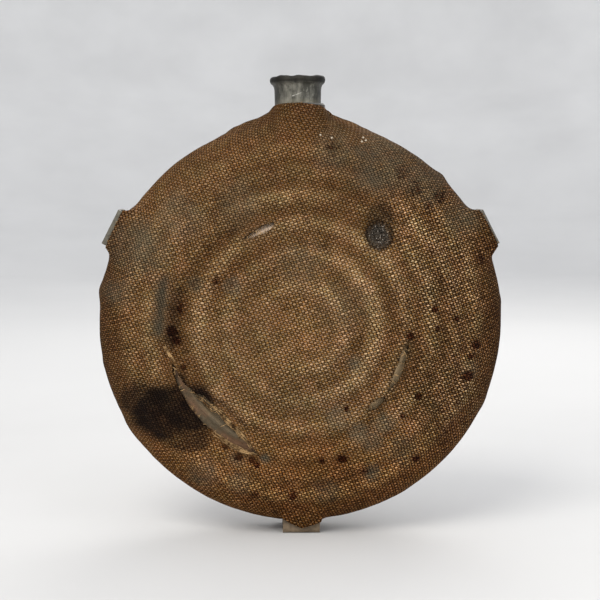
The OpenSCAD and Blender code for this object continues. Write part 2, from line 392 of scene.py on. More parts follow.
    def rise(self):
        """How far from the sleeve's foot to the cloth's edge a point's row lies, from 0 to 1."""
        s_foot = s_at_radius(SLEEVE_FOOT_R)
        return np.clip((self.s0 - s_foot) / (S_END - s_foot), 0, 1)

    def sleeve(self, x, t, z):
        """Carries the cloth up over the spout's collar."""
        around, tau = np.abs(self.angle), self.rise()
        a, on_neck = np.radians(around), around <= SLEEVE_HALF
        edge_x, edge_t, edge_z = self.sleeve_edge(around, on_neck)
        skirt_turn = np.radians(np.interp(around, (0, 4, 8), (0, 34, 58)))
        beside = np.interp(around, (8, 12, 20), (13.8, 20, 32))
        pull_x = np.where(on_neck, 16.3 * np.sin(skirt_turn), beside)
        pull_t = np.interp(around, (0, 4, 8, 12, 20), (16.3, 14.2, 11.0, 9.5, 9.0))
        pull_z = np.interp(around, (0, 8, 12, 20), (97.2, 98.0, 97.0, 92.5))
        foot_r, foot_t = self.foot(s_at_radius(SLEEVE_FOOT_R))
        folds = 0.35 * noise(np.stack([self.angle * 1.5, tau * 4, tau * 0], -1), 2.6, self.seed + 9)
        to_x = np.where(self.angle < 0, -1, 1) * curve(tau, foot_r * np.sin(a), pull_x, edge_x)
        to_t = curve(tau, foot_t, pull_t, edge_t) + folds * np.sin(math.pi * tau) * (around < 20)
        to_z = curve(tau, foot_r * np.cos(a), pull_z, edge_z)
        weight = np.where(tau > 0, 1 - smoothstep(around, 10.0, 19.0), 0)
        return x + (to_x - x) * weight, t + (to_t - t) * weight, z + (to_z - z) * weight

    def sleeve_edge(self, around, on_neck):
        """Where the cloth's edge lies round the neck and down each side of it."""
        left, middle, right = SLEEVE_TOPS[self.side]
        turn = np.interp(around, (0, 2.7, 5.4, SLEEVE_HALF), (0, 30, 60, 90))
        top = np.interp(turn * np.sign(self.angle), (-90, -45, 0, 45, 90),
                        (left, middle - 0.3, middle, middle - 1.3, right))
        turn = np.radians(turn)
        side_knots = (SLEEVE_HALF, 10.0, 12.5, 16.0)
        side_x = np.interp(around, side_knots, (SLEEVE_R, 15.2, 20.0, 27.6))
        rim_z = seam_radius(self.angle) * np.cos(np.radians(around))
        side_top = np.where(self.angle < 0, left, right)
        side_z = rim_z + (side_top - rim_z) * np.interp(around, side_knots, (1.0, 0.45, 0.12, 0))
        edge_t = np.where(on_neck, SLEEVE_R * np.cos(turn), LEAST_T)
        return np.where(on_neck, SLEEVE_R * np.sin(turn), side_x), edge_t, np.where(on_neck, top, side_z)

    def faces(self):
        index = np.arange(ROWS * COLUMNS).reshape(ROWS, COLUMNS)
        faces = []
        for j in range(ROWS - 1):
            second_lip = {}
            for cut in self.cuts:
                if cut["row"] == j:
                    second_lip.update((c, cut["first"] + q) for q, c in enumerate(cut["columns"]))
            for i in range(COLUMNS):
                n = (i + 1) % COLUMNS
                low, low_next = second_lip.get(i, index[j, i]), second_lip.get(n, index[j, n])
                quad = [low, low_next, index[j + 1, n], index[j + 1, i]]
                faces.append(quad if self.side == BACK else quad[::-1])
        middle = [int(v) for v in index[0]]
        faces.append(middle[::-1] if self.side == BACK else middle)
        return faces

    def flat_cut(self):
        """Where each point lay on the flat cloth, in millimetres, with the slight skew of a worn weave."""
        f = along(self.s1, "cut") + self.drawn_out()
        a = np.radians(self.angle)
        gathered = np.interp(np.abs(self.angle), (0, 8, 12.5, 40), (0, 9.5, 9.8, 0)) * self.rise() ** 2
        p = np.stack([f * np.sin(a) + np.sign(self.angle) * gathered, f * np.cos(a), np.zeros_like(f)], -1)
        for axis, seed in ((0, self.seed + 20), (1, self.seed + 22)):
            p[:, axis] += 2.2 * noise(self.flat, 62, seed) + 0.5 * noise(self.flat, 17, seed + 1)
        return p

    def drawn_out(self):
        """Extra length of cloth between the outer rings and a point that is drawn up a leg or the spout."""
        grid = self.points[: ROWS * COLUMNS].reshape(ROWS, COLUMNS, 3)
        length = np.linalg.norm(np.diff(grid, axis=0), axis=2)
        plain = np.diff(self.stations)[:, None]
        foot = int(np.argmax(self.stations > s_at_radius(SLEEVE_FOOT_R)))
        extra = np.where(np.arange(ROWS - 1)[:, None] >= foot, length - plain, 0)
        for cut in self.cuts:
            if cut["loop"]:
                extra[cut["row"]:, cut["columns"]] = 0
        extra = np.concatenate([np.zeros((1, COLUMNS)), np.cumsum(extra, axis=0)])
        return np.clip(extra[self.row, self.column], -4, 14)


# ---- marks on the cloth, as shares from 0 to 1 at each point ----
# Places are (x, z) in millimetres from the middle of the face, seen from the front.

# Stains: x, z, radius and how dark.
SPOTS = (
    (14.8, 84.3, 5.4, 0.44), (47.4, 71.9, 5.6, 0.42), (53.6, 65.7, 5.4, 0.46), (66.1, 61.4, 4.8, 0.52),
    (60.0, 57.0, 3.0, 0.4), (85.9, 31.9, 3.2, 0.55), (-61.5, -2.0, 3.5, 0.85), (-59.6, -6.2, 3.4, 0.8),
    (-59.0, 9.0, 5.0, 0.5), (79.8, -24.6, 3.4, 0.98), (83.6, -9.5, 3.2, 0.85), (19.3, -63.4, 3.2, 0.95),
    (-22.3, -81.4, 3.2, 0.6), (-4.4, -82.8, 3.4, 0.7), (55.2, -33.5, 2.4, 0.9), (62.8, 8.3, 2.2, 0.9),
    (73.6, 3.2, 2.2, 0.9), (64.2, -1.0, 2.0, 0.85), (50.6, -4.4, 2.8, 0.9), (-41.0, 22.5, 3.2, 0.6),
    (-50.6, 20.5, 3.6, 0.5), (-33.5, 20.0, 3.4, 0.4), (-36.0, -57.0, 4.0, 0.55), (-30.5, -63.0, 3.4, 0.75),
    (-24.0, -64.0, 2.4, 0.95), (-21.5, -67.0, 2.4, 0.9), (-56.5, -19.0, 2.6, 0.6), (-33.0, 66.0, 2.4, 0.3),
    (55.0, -65.0, 2.8, 0.75), (9.4, -64.4, 2.4, 0.7), (20.8, -38.6, 2.0, 0.7), (47.5, -42.4, 2.0, 0.7),
    (81.8, -15.0, 3.4, 0.6), (49.4, 10.0, 1.6, 0.6), (-72.0, 56.0, 2.4, 0.3), (30.0, -70.0, 2.6, 0.5),
    (5.0, 12.0, 2.0, 0.25), (70.0, -52.0, 2.2, 0.5), (11.0, 38.0, 3.2, 0.4),
)
# Dusty grey patches: x, z, radius and how strong.
GREY_PATCHES = (
    (-78, 38, 16, 0.6), (-88, 16, 9, 0.6), (-50.6, 20.5, 4.5, 0.7), (-33.5, 20.0, 4.5, 0.6),
    (38, 78, 19, 0.6), (16, 84, 12, 0.4), (60, 70, 14, 0.66), (78, 52, 11, 0.6), (-48, -72, 9, 0.6),
    (-30, -76, 7, 0.5), (16.5, -43, 7, 0.75), (27, -50.5, 6, 0.9), (33.7, -71, 5, 0.9),
    (24.6, -17, 5, 0.6), (38, -46, 6, 0.7), (34, -55, 6, 0.6), (12, -80, 8, 0.45), (80, -22, 6, 0.5),
    (0, 30, 13, 0.35), (-30, 58, 12, 0.3), (-58, 52, 12, 0.45), (-31, -63, 5, 0.7),
    (-17.5, -63.2, 3.4, 1.0), (48, -60, 8, 0.4), (20, 12, 16, 0.25),
)
# The burn, as ovals: place, half sizes, how black and how ragged.
BURN = (
    ((-66.5, -42.0), (18.5, 15.5), 1.0, 1), ((-53.5, -39.5), (14.5, 14.0), 1.0, 1),
    ((-55.0, -54.0), (11.0, 7.5), 0.72, 2), ((-78.0, -36.0), (9.0, 10.0), 0.75, 2),
)
WHITE_FLECKS = ((9.0, 91.0), (14.4, 89.7), (29.8, 90.0), (29.0, 88.0), (31.0, 88.6))

# Where the cloth on each ring is worn pale: all round, and how much more at an angle, over how many degrees.
RING_WEAR = (
    (0.22, ((0.90, 80, 55),)),
    (0.42, ((1.25, 88, 50),)),
    (0.60, ((0.50, -30, 40),)),
    (0.12, ((0.95, -12, 28), (0.85, 75, 20), (0.35, 130, 25))),
    (0.34, ((0.70, 45, 28), (0.22, -105, 30))),
    (0.40, ((0.35, 130, 40), (0.45, 175, 30))),
)
# Painted shade in the hollow between rings: radius, half width, how dark, at which angle, over how many
# degrees.
HOLLOW_SHADES = (
    (56.0, 5.5, 0.26, -50, 45), (60.0, 6.0, 0.34, -98, 26), (69.5, 4.5, 0.30, -135, 22),
    (53.5, 4.0, 0.22, 130, 50), (57.5, 4.0, 0.16, 45, 25), (43.0, 3.6, 0.24, 72, 50),
    (27.0, 4.0, 0.18, 75, 60), (88.0, 5.0, 0.10, 170, 60), (41.5, 4.0, 0.14, -45, 30),
    (67.0, 3.0, 0.16, 75, 30),
)


def ring_wear(cover):
    wear = np.zeros_like(cover.tin_r)
    for ring, (base, extras) in zip(RING_RADII, RING_WEAR):
        amount = base + sum(extra * bell(wrapped(cover.angle - at), 0, width) for extra, at, width in extras)
        wear += amount * ring_ridge(np.abs(cover.tin_r - ring))
    return wear


def hollow_shade(cover):
    # Painted shade along the hollow between neighbouring rings, as a factor on the tone.
    shade = np.ones_like(cover.tin_r)
    wobble = 1.2 * noise(cover.flat, 14, 88)
    for r, width, amount, at, spread in HOLLOW_SHADES:
        across = bell(cover.tin_r - r + wobble, 0, width)
        shade *= 1 - amount * across * bell(wrapped(cover.angle - at), 0, spread)
    return shade


def patches(x, z, spec, ragged, soft=(0.35, 1.25)):
    total = np.zeros_like(x)
    for px, pz, radius, strength in spec:
        d = np.hypot(x - px, z - pz) / radius + 0.35 * ragged
        total = np.maximum(total, strength * (1 - smoothstep(d, *soft)))
    return total


def stains(x, z, spots, fine):
    return patches(x, z, spots, 0.6 * fine, (0.25, 1.2))


def blob(x, z, centre, size, ragged=0.0):
    """1 inside an oval, falling to 0 outside it."""
    d = np.hypot((x - centre[0]) / size[0], (z - centre[1]) / size[1]) + ragged
    return 1 - smoothstep(d, 0.7, 1.12)


def upright_band(x, z, at_x, slant, low, high):
    """A soft slanting band that fades in over the heights of low and out over those of high."""
    return bell(x - at_x - slant * (z - 5), 0, 3.4) * smoothstep(z, *low) * (1 - smoothstep(z, *high))


def lip_shade(cover):
    """Painted shadow, with some grime, along the tears' lips: a shadowed crease inside the longest one's
    fringe, and a thin line on the others.
    """
    left = -cover.angle
    fringe = smoothstep(left, 124, 132)
    groove_shadow = bell(cover.inner_edge, 0.5 + 2.9 * fringe, 1.6) * (0.72 + 0.5 * noise(cover.flat, 4.0, 310))
    long_tear = 0.95 * groove_shadow * smoothstep(left, 106, 112) * (1 - smoothstep(left, 146, 156))
    short_tears = 0.62 * bell(cover.edge, 0.6, 1.1) * (0.8 + 0.4 * noise(cover.flat, 3.0, 311))
    return np.maximum(long_tear, short_tears * (left < 60))


def front_marks(cover):
    x, z = cover.x, cover.z
    fine, mid = fractal(cover.flat, 5, 301), fractal(cover.flat, 15, 302)
    ragged = 0.14 * mid + 0.12 * fine
    burn = [black * blob(x, z, at, size, rough * ragged) for at, size, black, rough in BURN]
    crust = blob(x, z, (36.0, 43.2), (5.9, 5.9), 0.16 * fine)
    from_crust = np.hypot((x - 36.2) / 6.6, (z - 43.6) / 6.8) + 0.1 * fine
    ring = 0.97 * bell(from_crust, 0.93, 0.16)
    above = 0.58 * blob(x, z, (36.8, 51.5), (7.2, 7.8), 0.2 * fine + 0.1 * mid)
    # Painted shadow of a crease left of the long tear's top, and beside it a grey smear that is partly dust
    # and partly painted shade.
    groove_shadow = 0.62 * upright_band(x + 1.5 * mid, z, -61.0, 0.16, (-16, -6), (16, 25))
    grey_smear_and_shade = upright_band(x + 1.2 * mid, z, -67.5, 0.12, (-8, -1), (20, 27))
    # dark holds the burn and crust marks and also the painted shadows.
    dark = np.maximum.reduce(burn + [ring, above, lip_shade(cover), groove_shadow, 0.5 * grey_smear_and_shade])
    grey = np.maximum(patches(x, z, GREY_PATCHES, mid), 0.95 * grey_smear_and_shade)
    return dark, grey, crust, stains(x, z, SPOTS, fine)


# Where the front is lighter or darker than the rest, partly from handling and grime and partly painted shade:
# (x, z), how far it reaches, and by how much.
TONES = (
    ((-46, 30), 24, -0.14), ((-28, 36), 18, -0.14), ((12, 48), 22, -0.14), ((30, 74), 12, -0.26),
    ((66, 26), 28, 0.19), ((74, -30), 15, 0.18), ((12, -43), 20, 0.20), ((18, -68), 14, -0.20),
    ((-38, -70), 17, 0.24), ((-56, -26), 10, -0.26), ((-49, 75), 11, 0.06), ((55, -22), 10, -0.10),
    ((-47, -2), 26, 0.20), ((44, 66), 15, -0.12), ((6, -62), 14, -0.16), ((0, 84), 26, -0.08),
)


def tone_of(cover):
    """How much lighter or darker the cloth is in one place than in another, from handling and grime, with
    painted shade towards the rim and between the rings.
    """
    x, z = cover.x, cover.z
    if cover.side == FRONT:
        # Painted shade: darker towards the right and left edges, the bottom and the top.
        tone = 0.93 - 0.23 * smoothstep(x, 40, 90) - 0.38 * smoothstep(x, 78, 97)
        tone -= 0.34 * smoothstep(-x, 76, 97) + 0.09 * smoothstep(-x, 50, 76)
        tone -= 0.16 * smoothstep(-z, 45, 97) + 0.20 * smoothstep(z, 35, 80)
        for (at_x, at_z), reach, change in TONES:
            tone += change * bell(np.hypot(x - at_x, z - at_z), 0, reach)
    else:
        # Painted shade: darker towards the rim.
        tone = 0.88 - 0.30 * smoothstep(np.hypot(x, z), 60, 97)
    tone = 0.985 * tone * hollow_shade(cover)
    return np.clip(tone + 0.12 * fractal(cover.flat, 40, cover.seed + 60), 0.25, 1.3)


def depth_of(cover):
    """How strongly the single threads stand out from the gaps between them, by the strength of the painted
    shade in the weave.
    """
    x, z = cover.x, cover.z
    depth = 0.22 + 0.75 * smoothstep(x, 25, 72) + 0.5 * smoothstep(-z, 45, 88) + 0.3 * smoothstep(-x, 60, 92)
    return np.clip(depth + 0.35 * fractal(cover.flat, 25, cover.seed + 66), 0, 1)


def back_marks(cover):
    flat = cover.flat
    fine, mid = fractal(flat, 6, 401), fractal(flat, 24, 402)
    dark = 0.6 * smoothstep(noise(flat, 30, 404) + 0.3 * mid, 0.5, 0.95)
    grey = 0.65 * smoothstep(noise(flat, 26, 405) + 0.25 * fine, 0.15, 0.8)
    rng = np.random.default_rng(83)
    spots = [(*rng.uniform(-86, 86, 2), rng.uniform(1.6, 3.4), rng.uniform(0.4, 0.9)) for _ in range(30)]
    return dark, grey, np.zeros_like(grey), stains(cover.x, cover.z, spots, fine)


def paint_cover(cover, obj):
    """Stores the marks, the wear and the flat-cut place of each point on the mesh."""
    marks = front_marks if cover.side == FRONT else back_marks
    dark, grey, crust, stain = marks(cover)
    # Painted shade towards the rim, with some grime, and less ring wear there.
    rim = smoothstep(cover.tin_r, 84, 96.5)
    crest = ring_wear(cover) * (0.85 + 0.5 * noise(cover.flat, 20, cover.seed + 40))
    values = {
        "dark": dark, "grey": grey, "crust": crust, "stain": stain, "rim": rim,
        "crest": np.clip(crest * (1 - 0.75 * rim), 0, 1.3),
        "torn": np.exp(-cover.edge / 1.6),
        "fade": np.clip(0.5 + 0.5 * fractal(cover.flat, 34, cover.seed + 41), 0, 1),
        "tone": tone_of(cover),
        "depth": depth_of(cover),
        # Painted warm bounce light from below on the lower part.
        "warm_bounce_light": 0.65 * smoothstep(-cover.z, 32, 76),
    }
    for name, value in values.items():
        layer = obj.data.attributes.new(name, "FLOAT", "POINT")
        layer.data.foreach_set("value", np.asarray(value, np.float32))
    layer = obj.data.attributes.new("cut", "FLOAT_VECTOR", "POINT")
    layer.data.foreach_set("vector", cover.flat_cut().astype(np.float32).ravel())


# ---- mesh helpers ----


def mesh_object(name, points_mm, faces, material):
    mesh = bpy.data.meshes.new(name)
    mesh.from_pydata((np.asarray(points_mm) * MM).tolist(), [], faces)
    mesh.validate()
    mesh.polygons.foreach_set("use_smooth", [True] * len(mesh.polygons))
    obj = bpy.data.objects.new(name, mesh)
    bpy.context.scene.collection.objects.link(obj)
    mesh.materials.append(material)
    return obj


def unit(v):
    return v / max(np.linalg.norm(v), 1e-9)


def tube(path, radius, sides, points, faces, taper=1.0):
    """Adds a closed tube along a path, in millimetres, to points and faces."""
    path = np.asarray(path, float)
    step = np.gradient(path, axis=0)
    step /= np.maximum(np.linalg.norm(step, axis=1)[:, None], 1e-9)
    up = np.array([0.0, 0.3, 1.0]) if abs(step[0][2]) < 0.8 else np.array([1.0, 0.3, 0.0])
    first = len(points)
    count = len(path)
    for k, (p, d) in enumerate(zip(path, step)):
        a = unit(np.cross(d, up))
        b = np.cross(a, d)
        size = radius * (1 + (taper - 1) * k / (count - 1))
        for q in range(sides):
            angle = 2 * math.pi * q / sides
            points.append(p + size * (math.cos(angle) * a + math.sin(angle) * b))
    for k in range(count - 1):
        for q in range(sides):
            n = (q + 1) % sides
            base = first + k * sides
            faces.append([base + q, base + n, base + sides + n, base + sides + q])
    faces.append([first + q for q in range(sides)][::-1])
    faces.append([first + (count - 1) * sides + q for q in range(sides)])


# ---- materials ----


class Nodes:
    """Short ways to add nodes to one material."""

    def __init__(self, name):
        self.material = bpy.data.materials.new(name)
        self.material.use_nodes = True
        self.tree = self.material.node_tree
        self.tree.nodes.clear()
        self.out = self.tree.nodes.new("ShaderNodeOutputMaterial")
        self.shader = self.tree.nodes.new("ShaderNodeBsdfPrincipled")
        self.tree.links.new(self.shader.outputs[0], self.out.inputs["Surface"])

    def plug(self, socket, value):
        if isinstance(value, bpy.types.NodeSocket):
            self.tree.links.new(value, socket)
        elif value is not None:
            socket.default_value = value

    def math(self, kind, a, b=None, clamp=False):
        node = self.tree.nodes.new("ShaderNodeMath")
        node.operation = kind
        node.use_clamp = clamp
        for socket, value in zip(node.inputs, (a, b)):
            self.plug(socket, value)
        return node.outputs[0]

    def add(self, total, *more):
        for value in more:
            total = self.math("ADD", total, value)
        return total

    def times(self, a, b, clamp=False):
        return self.math("MULTIPLY", a, b, clamp)

    def off(self, value, centre):
        """How far a value lies from a centre, on either side."""
        return self.math("ABSOLUTE", self.math("SUBTRACT", value, centre))

    def vector(self, kind, a, b=None):
        node = self.tree.nodes.new("ShaderNodeVectorMath")
        node.operation = kind
        self.plug(node.inputs[0], a)
        self.plug(node.inputs[1], b)
        return node.outputs["Value"] if kind in ("DOT_PRODUCT", "LENGTH") else node.outputs["Vector"]

    def stretch(self, vector, x, y, z):
        return self.vector("MULTIPLY", vector, (x, y, z))

    def attribute(self, name, vector=False):
        node = self.tree.nodes.new("ShaderNodeAttribute")
        node.attribute_name = name
        return node.outputs["Vector" if vector else "Fac"]

    def place(self):
        return self.tree.nodes.new("ShaderNodeTexCoord").outputs["Object"]

    def noise(self, vector, scale, detail=3.0, rough=0.55):
        node = self.tree.nodes.new("ShaderNodeTexNoise")
        self.plug(node.inputs["Vector"], vector)
        node.inputs["Scale"].default_value = scale
        node.inputs["Detail"].default_value = detail
        node.inputs["Roughness"].default_value = rough
        return node.outputs[0]

    def white(self, x, y, z):
        """A random number for each whole-number place."""
        node = self.tree.nodes.new("ShaderNodeTexWhiteNoise")
        self.plug(node.inputs["Vector"], self.combine(x, y, z))
        return node.outputs["Value"]

    def combine(self, x, y, z):
        node = self.tree.nodes.new("ShaderNodeCombineXYZ")
        for socket, value in zip(node.inputs, (x, y, z)):
            self.plug(socket, value)
        return node.outputs[0]

    def remap(self, value, low, high, to_low=0.0, to_high=1.0):
        node = self.tree.nodes.new("ShaderNodeMapRange")
        for socket, x in zip(node.inputs, (value, low, high, to_low, to_high)):
            self.plug(socket, x)
        return node.outputs[0]

    def mix(self, share, a, b, kind="MIX"):
        node = self.tree.nodes.new("ShaderNodeMix")
        node.data_type = "RGBA"
        node.blend_type = kind
        self.plug(node.inputs[0], share)
        for socket, value in ((node.inputs[6], a), (node.inputs[7], b)):
            self.plug(socket, (*value, 1.0) if isinstance(value, tuple) else value)
        return node.outputs[2]

    def tint(self, colour, by):
        return self.mix(1.0, colour, by, "MULTIPLY")

    def shade(self, colour, amount):
        return self.tint(colour, self.combine(amount, amount, amount))

    def bump(self, height, distance, strength):
        node = self.tree.nodes.new("ShaderNodeBump")
        node.inputs["Distance"].default_value = distance
        node.inputs["Strength"].default_value = strength
        self.plug(node.inputs["Height"], height)
        self.plug(self.shader.inputs["Normal"], node.outputs[0])

    def set(self, **values):
        for name, value in values.items():
            self.plug(self.shader.inputs[name.replace("_", " ")], value)


# Threads of the two sets per millimetre of flat cloth, as (x, z) across the threads.
STANDING_THREADS = (0.668, 0.258, 0.0)
LYING_THREADS = (0.262, -0.975, 0.0)


def thread_count(n, cut, threads, broad_shift, small_shift):
    """How many threads of one set a point lies from the panel's middle, with the yarns' wander."""
    broad = n.noise(n.vector("ADD", cut, broad_shift), 0.35, 4.0, 0.6)
    small = n.noise(n.vector("ADD", cut, small_shift), 1.1, 2.0)
    straight = n.vector("DOT_PRODUCT", cut, threads)
    return n.add(straight, n.remap(broad, 0, 1, -0.45, 0.45), n.remap(small, 0, 1, -0.24, 0.24))


def woven_cloth(n, cut):
    """A plain weave: the colour of its yarns and of its gaps, which are painted shade, its height, and where
    it is yarn and not gap.
    """
    u = thread_count(n, cut, STANDING_THREADS, (0.0, 0.0, 0.0), (0.0, 0.0, 0.0))
    v = thread_count(n, cut, LYING_THREADS, (31.0, 17.0, 5.0), (7.0, 3.0, 1.0))
    iu, iv = n.math("FLOOR", u), n.math("FLOOR", v)
    across_u = n.math("SINE", n.times(n.math("FRACT", u), math.pi))
    across_v = n.math("SINE", n.times(n.math("FRACT", v), math.pi))
    over = n.math("FLOORED_MODULO", n.add(iu, iv), 2.0)
    float_u = n.times(n.math("POWER", across_u, 0.9), n.math("POWER", across_v, 0.3))
    float_v = n.times(n.math("POWER", across_v, 0.75), n.math("POWER", across_u, 0.35))
    height = n.add(n.times(over, float_v), n.times(n.math("SUBTRACT", 1.0, over), n.times(float_u, 0.85)))
    streak = n.add(n.times(n.white(iu, iv, 0.5), 0.62), n.times(n.white(iu, 3.5, 7.5), 0.22),
                   n.times(n.white(11.5, iv, 2.5), 0.2))
    streak = n.add(streak, n.remap(n.math("FLOORED_MODULO", iv, 2.0), 0, 1, -0.16, 0.16))

    golden = n.mix(n.attribute("crest"), (0.302, 0.187, 0.110), (0.51, 0.355, 0.220))
    brown = n.mix(n.attribute("crest"), (0.195, 0.094, 0.028), (0.33, 0.185, 0.075))
    depth = n.attribute("depth")
    light = n.remap(streak, 0.1, 0.9, n.remap(depth, 0, 1, 0.68, 0.42), n.remap(depth, 0, 1, 1.17, 2.1))
    yarn = n.shade(n.mix(over, brown, golden), light)
    # Painted shade: where a yarn dips into the gaps beside it, the colour goes to near black.
    solid = n.remap(height, n.remap(depth, 0, 1, 0.08, 0.40), n.remap(depth, 0, 1, 0.74, 0.95))
    colour = n.mix(solid, (0.016, 0.0052, 0.0008), yarn)
    hue = n.add(n.noise(cut, 0.075, 4.0, 0.65), n.remap(n.white(iv, iu, 4.5), 0, 1, -0.05, 0.05))
    hues = n.mix(n.remap(hue, 0.34, 0.66), (0.91, 0.985, 0.84), (1.07, 0.985, 0.92))
    return n.tint(colour, hues), height, solid


def handled(n, cut, colour):
    """Lightens and darkens the cloth by its tone from handling, grime and painted shade, warms its lower part
    with painted warm bounce light, and fades it as sun has.
    """
    grit = n.remap(n.noise(cut, 0.14, 5.0, 0.62), 0.3, 0.7, 0.8, 1.2)
    fuzz = n.remap(n.noise(cut, 1.5, 3.0, 0.7), 0.3, 0.7, 0.72, 1.26)
    tone = n.times(n.attribute("tone"), n.times(grit, fuzz))
    colour = n.tint(colour, n.combine(tone, n.math("POWER", tone, 1.2), n.math("POWER", tone, 1.45)))
    # Painted warm bounce light: the lower part is tinted warmer.
    colour = n.mix(n.attribute("warm_bounce_light"), colour, n.tint(colour, (1.26, 1.0, 0.70)))
    broad = n.noise(cut, 0.03, 4.0, 0.6)
    return n.shade(colour, n.remap(n.add(n.attribute("fade"), broad), 0.6, 1.4, 0.74, 1.18))


def soiled(n, cut, colour, solid):
    """Adds the dust, the rim darkened by grime and painted shade, the burn and the painted shadows by the
    tears, and the stains.
    """
    patchy = n.noise(cut, 0.11, 4.0, 0.6)
    grey = n.times(n.attribute("grey"), n.remap(patchy, 0.3, 0.6, 0.35, 1.0), clamp=True)
    # The dust is darker in the weave's gaps, as painted shade.
    dusty = n.mix(solid, (0.028, 0.024, 0.015), (0.126, 0.120, 0.084))
    colour = n.mix(n.times(grey, 0.78), colour, dusty)
    # Painted shade with some grime: the rim goes darker.
    colour = n.mix(n.times(n.attribute("rim"), 0.16), colour, (0.030, 0.014, 0.005))
    dark = n.times(n.attribute("dark"), n.remap(patchy, 0.2, 0.55, 0.75, 1.0), clamp=True)
    # The burn's char colour, also used for the painted shadows along the tears and the crease.
    char_and_shadow = n.mix(solid, (0.0012, 0.0006, 0.0004), (0.0088, 0.0046, 0.0032))
    colour = n.mix(n.times(dark, 0.97), colour, char_and_shadow)
    stain = n.attribute("stain")
    blot = n.add(stain, n.remap(n.noise(cut, 0.45, 4.0, 0.65), 0.3, 0.7, -0.34, 0.34))
    blot = n.times(n.remap(blot, 0.25, 0.62), n.remap(stain, 0.05, 0.3))
    blot = n.math("MAXIMUM", blot, n.times(stain, 0.62))
    return n.mix(blot, colour, n.tint(colour, (0.21, 0.115, 0.085)))


def crusted(n, cut, colour):
    """Adds the black crust with its pale specks, and the fresher yarn at the torn edges."""
    flake = n.noise(cut, 1.1, 4.0, 0.7)
    crusty = n.mix(n.remap(flake, 0.44, 0.58), (0.006, 0.0055, 0.005), (0.060, 0.052, 0.042))
    crusty = n.mix(n.remap(n.noise(cut, 0.9, 2.0), 0.62, 0.66), crusty, (0.42, 0.37, 0.31))
    colour = n.mix(n.times(n.attribute("crust"), 0.92), colour, crusty)
    torn = n.times(n.attribute("torn"), n.remap(n.attribute("dark"), 0, 0.6, 0.5, 0.0))
    return n.mix(torn, colour, (0.16, 0.085, 0.032))


def cloth_material(name, warmth=1.0, flecks=()):
    """A coarse weave of brown and golden yarns, with the marks that paint_cover stores on the mesh."""
    n = Nodes(name)
    cut = n.attribute("cut", vector=True)
    colour, height, solid = woven_cloth(n, cut)
    colour = crusted(n, cut, soiled(n, cut, handled(n, cut, colour), solid))
    if warmth != 1.0:
        colour = n.tint(colour, (warmth, warmth * 0.98, warmth * 0.96))
    for x, z in flecks:
        from_fleck = n.vector("SUBTRACT", n.place(), (x * MM, 0.0, (z + CENTRE_Z) * MM))
        away = n.vector("LENGTH", n.stretch(from_fleck, 1.0, 0.0, 1.0))
        colour = n.mix(n.remap(away, 0.00062, 0.00024), colour, (0.50, 0.43, 0.33))
    n.set(Base_Color=colour, Roughness=n.remap(n.attribute("dark"), 0, 1, 0.93, 0.78))
    n.set(Specular_IOR_Level=0.05)
    n.bump(n.add(height, n.times(n.noise(cut, 4.0, 3.0, 0.7), 0.35)), 0.00038, 0.9)
    return n.material


def thread_material(name, colour, shade):
    n = Nodes(name)
    place = n.place()
    tone = n.add(n.noise(place, 900, 3.0), n.remap(n.noise(place, 260, 2.0), 0.35, 0.65, -0.4, 0.4))
    n.set(Base_Color=n.mix(n.remap(tone, 0.1, 0.9), shade, colour), Roughness=0.9, Specular_IOR_Level=0.08)
    n.bump(n.noise(n.stretch(place, 1.0, 1.0, 1.6), 2600, 2.0), 0.00012, 0.8)
    return n.material


def metal_material(name, light, dull, stain, metallic, fleck=0.35):
    """Worn, tarnished sheet metal or solder: blotches of stain over a bright and a dull tone."""
    n = Nodes(name)
    place = n.place()
    broad = n.noise(place, 55, 4.0, 0.6)
    small = n.noise(place, 420, 4.0, 0.65)
    brushed = n.noise(n.stretch(place, 1.0, 1.0, 0.12), 1500, 3.0, 0.6)
    colour = n.mix(n.remap(n.add(broad, n.times(small, 0.6)), 0.62, 1.0), light, dull)
    colour = n.mix(n.remap(small, 0.52, 0.72, 0.0, fleck), colour, stain)
    colour = n.mix(n.remap(brushed, 0.4, 0.7, 0.0, 0.3), colour, dull)
    n.set(Base_Color=colour, Metallic=metallic, Roughness=n.remap(broad, 0.35, 0.65, 0.38, 0.7))
    n.bump(n.add(small, n.times(brushed, 0.4)), 0.00022, 0.6)
    return n.material


# The rolled lip's painted shade begins between these heights.
LIP_LOW, LIP_HIGH = 0.2204, 0.2218  # heights between which the spout's dark lip begins
SCRATCH_X, SCRATCH_Z = -0.0024, 0.2146  # middle of the scratch on the spout
SPOUT_LEAN = -0.001  # how far the spout's axis lies to the left


